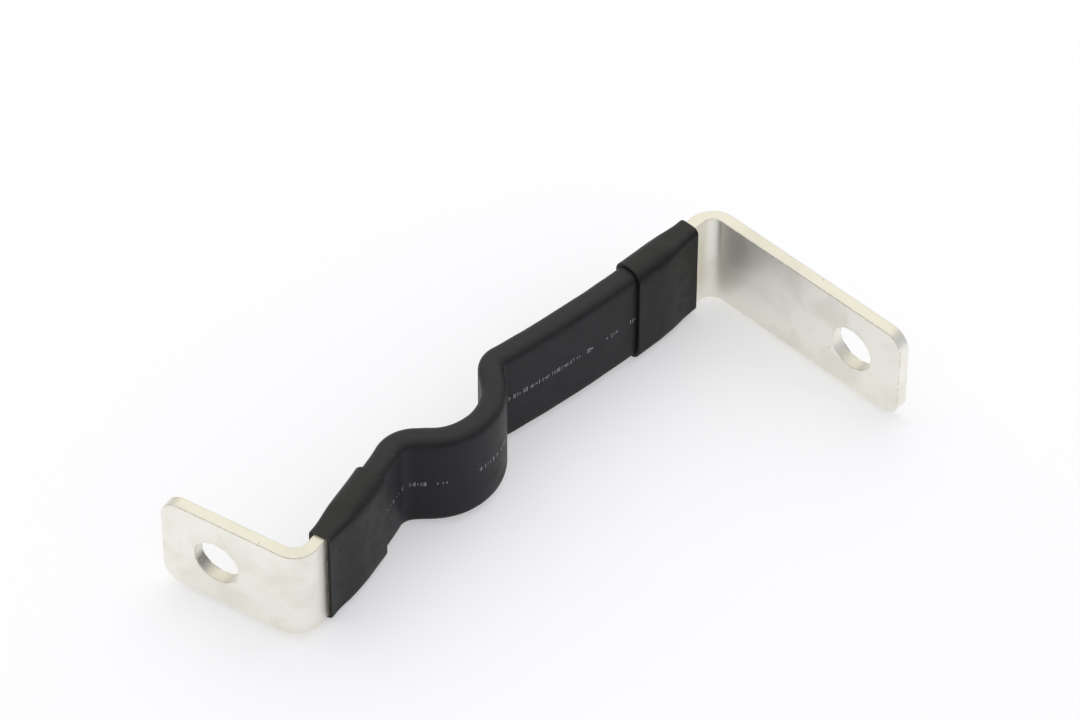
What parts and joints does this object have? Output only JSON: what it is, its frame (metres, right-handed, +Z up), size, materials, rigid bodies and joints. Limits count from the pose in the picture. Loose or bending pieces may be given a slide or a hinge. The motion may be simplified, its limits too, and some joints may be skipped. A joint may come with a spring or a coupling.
{
  "type": "insulated flexible busbar link",
  "caption": "Flexible laminated copper busbar link with an expansion loop, black heat-shrink insulation and a drilled, plated L-terminal at each end.",
  "frame": {"origin": "centre of the left bolt hole on the left pad's outer face, at the middle of the bar's width", "axes": "+Z up along the bar's width as it lies on its long edge, +X along the left pad from its hole towards the bend, -Y out of the left pad's outer face"},
  "size_m": [0.0905, 0.109, 0.0224],
  "materials": {
    "plated_terminal": "smooth warm tin plating with sheared edges",
    "copper_foil": "bare rolled copper",
    "main_tube": "satin black heat-shrink",
    "end_sleeve": "satin black heat-shrink, adhesive lined"
  },
  "bodies": {
    "root": {"left_terminal": "plated_terminal", "right_terminal": "plated_terminal", "foil_01": "copper_foil", "foil_02": "copper_foil", "foil_03": "copper_foil", "foil_04": "copper_foil", "foil_05": "copper_foil", "foil_06": "copper_foil", "foil_07": "copper_foil", "foil_08": "copper_foil", "foil_09": "copper_foil", "foil_10": "copper_foil", "foil_11": "copper_foil", "foil_12": "copper_foil", "foil_13": "copper_foil", "foil_14": "copper_foil", "foil_15": "copper_foil", "foil_16": "copper_foil", "main_tube": "main_tube", "left_end_sleeve": "end_sleeve", "right_end_sleeve": "end_sleeve"}
  },
  "joints": []
}
